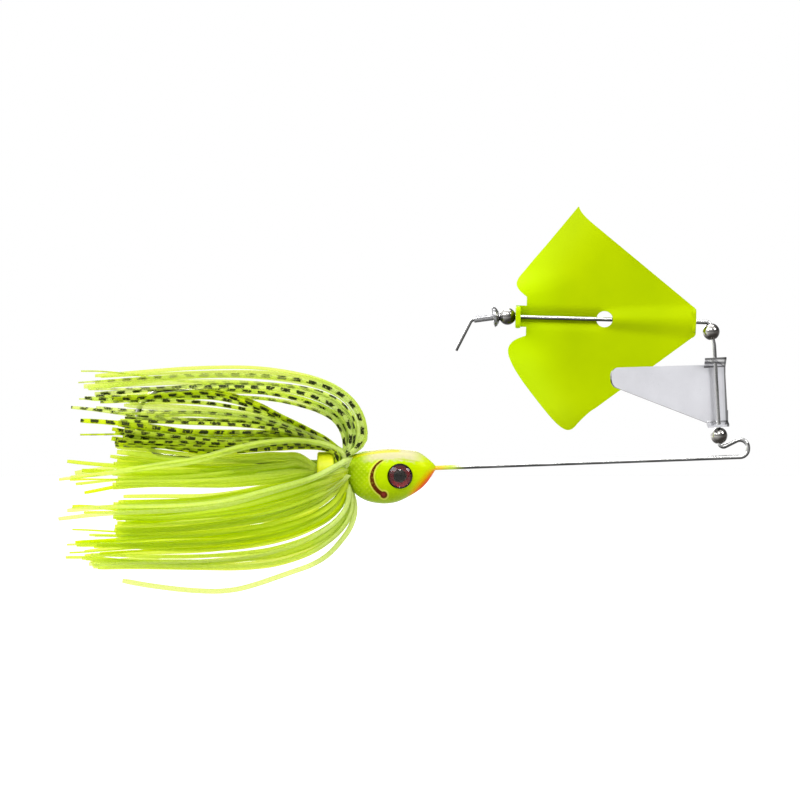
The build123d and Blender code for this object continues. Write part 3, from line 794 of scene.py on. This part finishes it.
beads = bead_metal()
foil = eye_foil()
resin = eye_resin()
dress("wire_frame", steel("wire_steel", (0.86, 0.86, 0.85), 0.16, paint_near_head=True))
dress("hook", steel("hook_steel", (0.66, 0.66, 0.68), 0.20))
dress("lead_head", head_paint())
dress("skirt_collar", collar_rubber())
dress("buzz_blade", blade_paint())
dress("clacker", clacker_metal())
dress("rivet", rivet_metal())
for name in ("rear_bead", "upper_bead", "lower_bead"):
    dress(name, beads)
for word in ("near", "far"):
    dress("eye_backing_" + word, foil)
    dress("eye_dome_" + word, resin)
make_skirt(skirt_silicone())


# ---------------------------------------------------------------- floor, light and camera

def floor():
    """Pale floor well under the lure, which glows as painted light further away and behind,
    dimmer near the lure and on the camera's side.
    """
    g = Graph("floor")
    cloud = g.noise(1.5, 2.0)
    colour = g.mix(cloud, (0.46, 0.46, 0.46), (0.50, 0.50, 0.50))
    away = g.node("VectorMath", {0: g.place}, operation="LENGTH").outputs["Value"]
    # painted light: the floor glows, dim near the lure and on the camera's side
    distant = g.span(g.ease(away, 0.30, 1.0), 0.0, 1.0, 0.06, 1.0)
    behind = g.span(g.ease(g.y, -0.9, -0.1), 0.0, 1.0, 0.3, 1.0)
    glow = g.times(distant, behind)
    material = g.principled(Base_Color=colour, Roughness=0.8, Emission_Color=(1.0, 1.0, 1.0),
                            Emission_Strength=glow)
    mesh = bpy.data.meshes.new("floor")
    half = FLOOR_HALF_WIDTH * MM
    corners = [(-half, -half), (half, -half), (half, half), (-half, half)]
    mesh.from_pydata([(x, y, FLOOR_Z * MM) for x, y in corners], [], [(0, 1, 2, 3)])
    mesh.materials.append(material)
    piece = bpy.data.objects.new("floor", mesh)
    bpy.context.scene.collection.objects.link(piece)


def area_light(name, place, width, height, watts):
    """A soft box aimed at the middle of the lure."""
    aim = Vector(LURE_MIDDLE) * MM
    data = bpy.data.lights.new(name, "AREA")
    data.shape = "RECTANGLE"
    data.size = width
    data.size_y = height
    data.energy = watts
    lamp = bpy.data.objects.new(name, data)
    lamp.location = place
    lamp.rotation_mode = "QUATERNION"
    lamp.rotation_quaternion = (aim - Vector(place)).to_track_quat("-Z", "Y")
    bpy.context.scene.collection.objects.link(lamp)


def studio():
    """Pale tent, brightest at the upper left and dim on the camera's side, with soft boxes."""
    world = bpy.data.worlds.new("studio")
    bpy.context.scene.world = world
    world.use_nodes = True
    tree = world.node_tree
    tree.nodes.clear()

    def link(source, target):
        tree.links.new(source, target)

    def ramp(value, low, high, to_low, to_high):
        made = tree.nodes.new("ShaderNodeMapRange")
        made.interpolation_type = "SMOOTHSTEP"
        link(value, made.inputs["Value"])
        made.inputs["From Min"].default_value = low
        made.inputs["From Max"].default_value = high
        made.inputs["To Min"].default_value = to_low
        made.inputs["To Max"].default_value = to_high
        return made.outputs["Result"]

    place = tree.nodes.new("ShaderNodeTexCoord").outputs["Generated"]
    axes = tree.nodes.new("ShaderNodeSeparateXYZ")
    link(place, axes.inputs[0])
    toward = tree.nodes.new("ShaderNodeVectorMath")
    toward.operation = "DOT_PRODUCT"
    link(place, toward.inputs[0])
    toward.inputs[1].default_value = (-0.60, -0.35, 0.72)
    tent = ramp(toward.outputs["Value"], 0.0, 0.85, 0.16, 0.95)
    horizon = ramp(axes.outputs[1], -0.80, -0.10, 0.32, 1.0)
    above = ramp(axes.outputs[2], 0.12, 0.24, 0.0, 1.0)
    blend = tree.nodes.new("ShaderNodeMix")
    link(above, blend.inputs[0])
    link(horizon, blend.inputs[2])
    link(tent, blend.inputs[3])
    back = tree.nodes.new("ShaderNodeBackground")
    link(blend.outputs[0], back.inputs[1])
    back.inputs[0].default_value = (1.0, 1.0, 1.0, 1.0)
    out = tree.nodes.new("ShaderNodeOutputWorld")
    link(back.outputs[0], out.inputs[0])

    area_light("key", (-0.70, -0.50, 0.62), 0.60, 0.50, 5.4)
    area_light("fill", (0.66, -0.42, 0.58), 0.30, 0.40, 3.6)
    area_light("top", (-0.05, 0.10, 0.75), 0.70, 0.30, 1.8)
    area_light("front", (-0.09, -0.80, 0.66), 0.26, 0.12, 1.6)
    area_light("rear", (-0.25, 0.75, 0.35), 0.60, 0.40, 3.5)


def camera():
    """Long lens, level with the lure and square to its side."""
    data = bpy.data.cameras.new("camera")
    data.sensor_width = 36.0
    data.lens = 204.5
    data.clip_start = 0.05
    data.clip_end = 30.0
    lens = bpy.data.objects.new("camera", data)
    lens.location = (-0.0748, -1.0, 0.0106)
    lens.rotation_mode = "QUATERNION"
    lens.rotation_quaternion = Vector((0.0, 1.0, 0.0)).to_track_quat("-Z", "Y")
    bpy.context.scene.collection.objects.link(lens)
    bpy.context.scene.camera = lens


floor()
studio()
camera()
bpy.context.scene.view_settings.view_transform = "Standard"
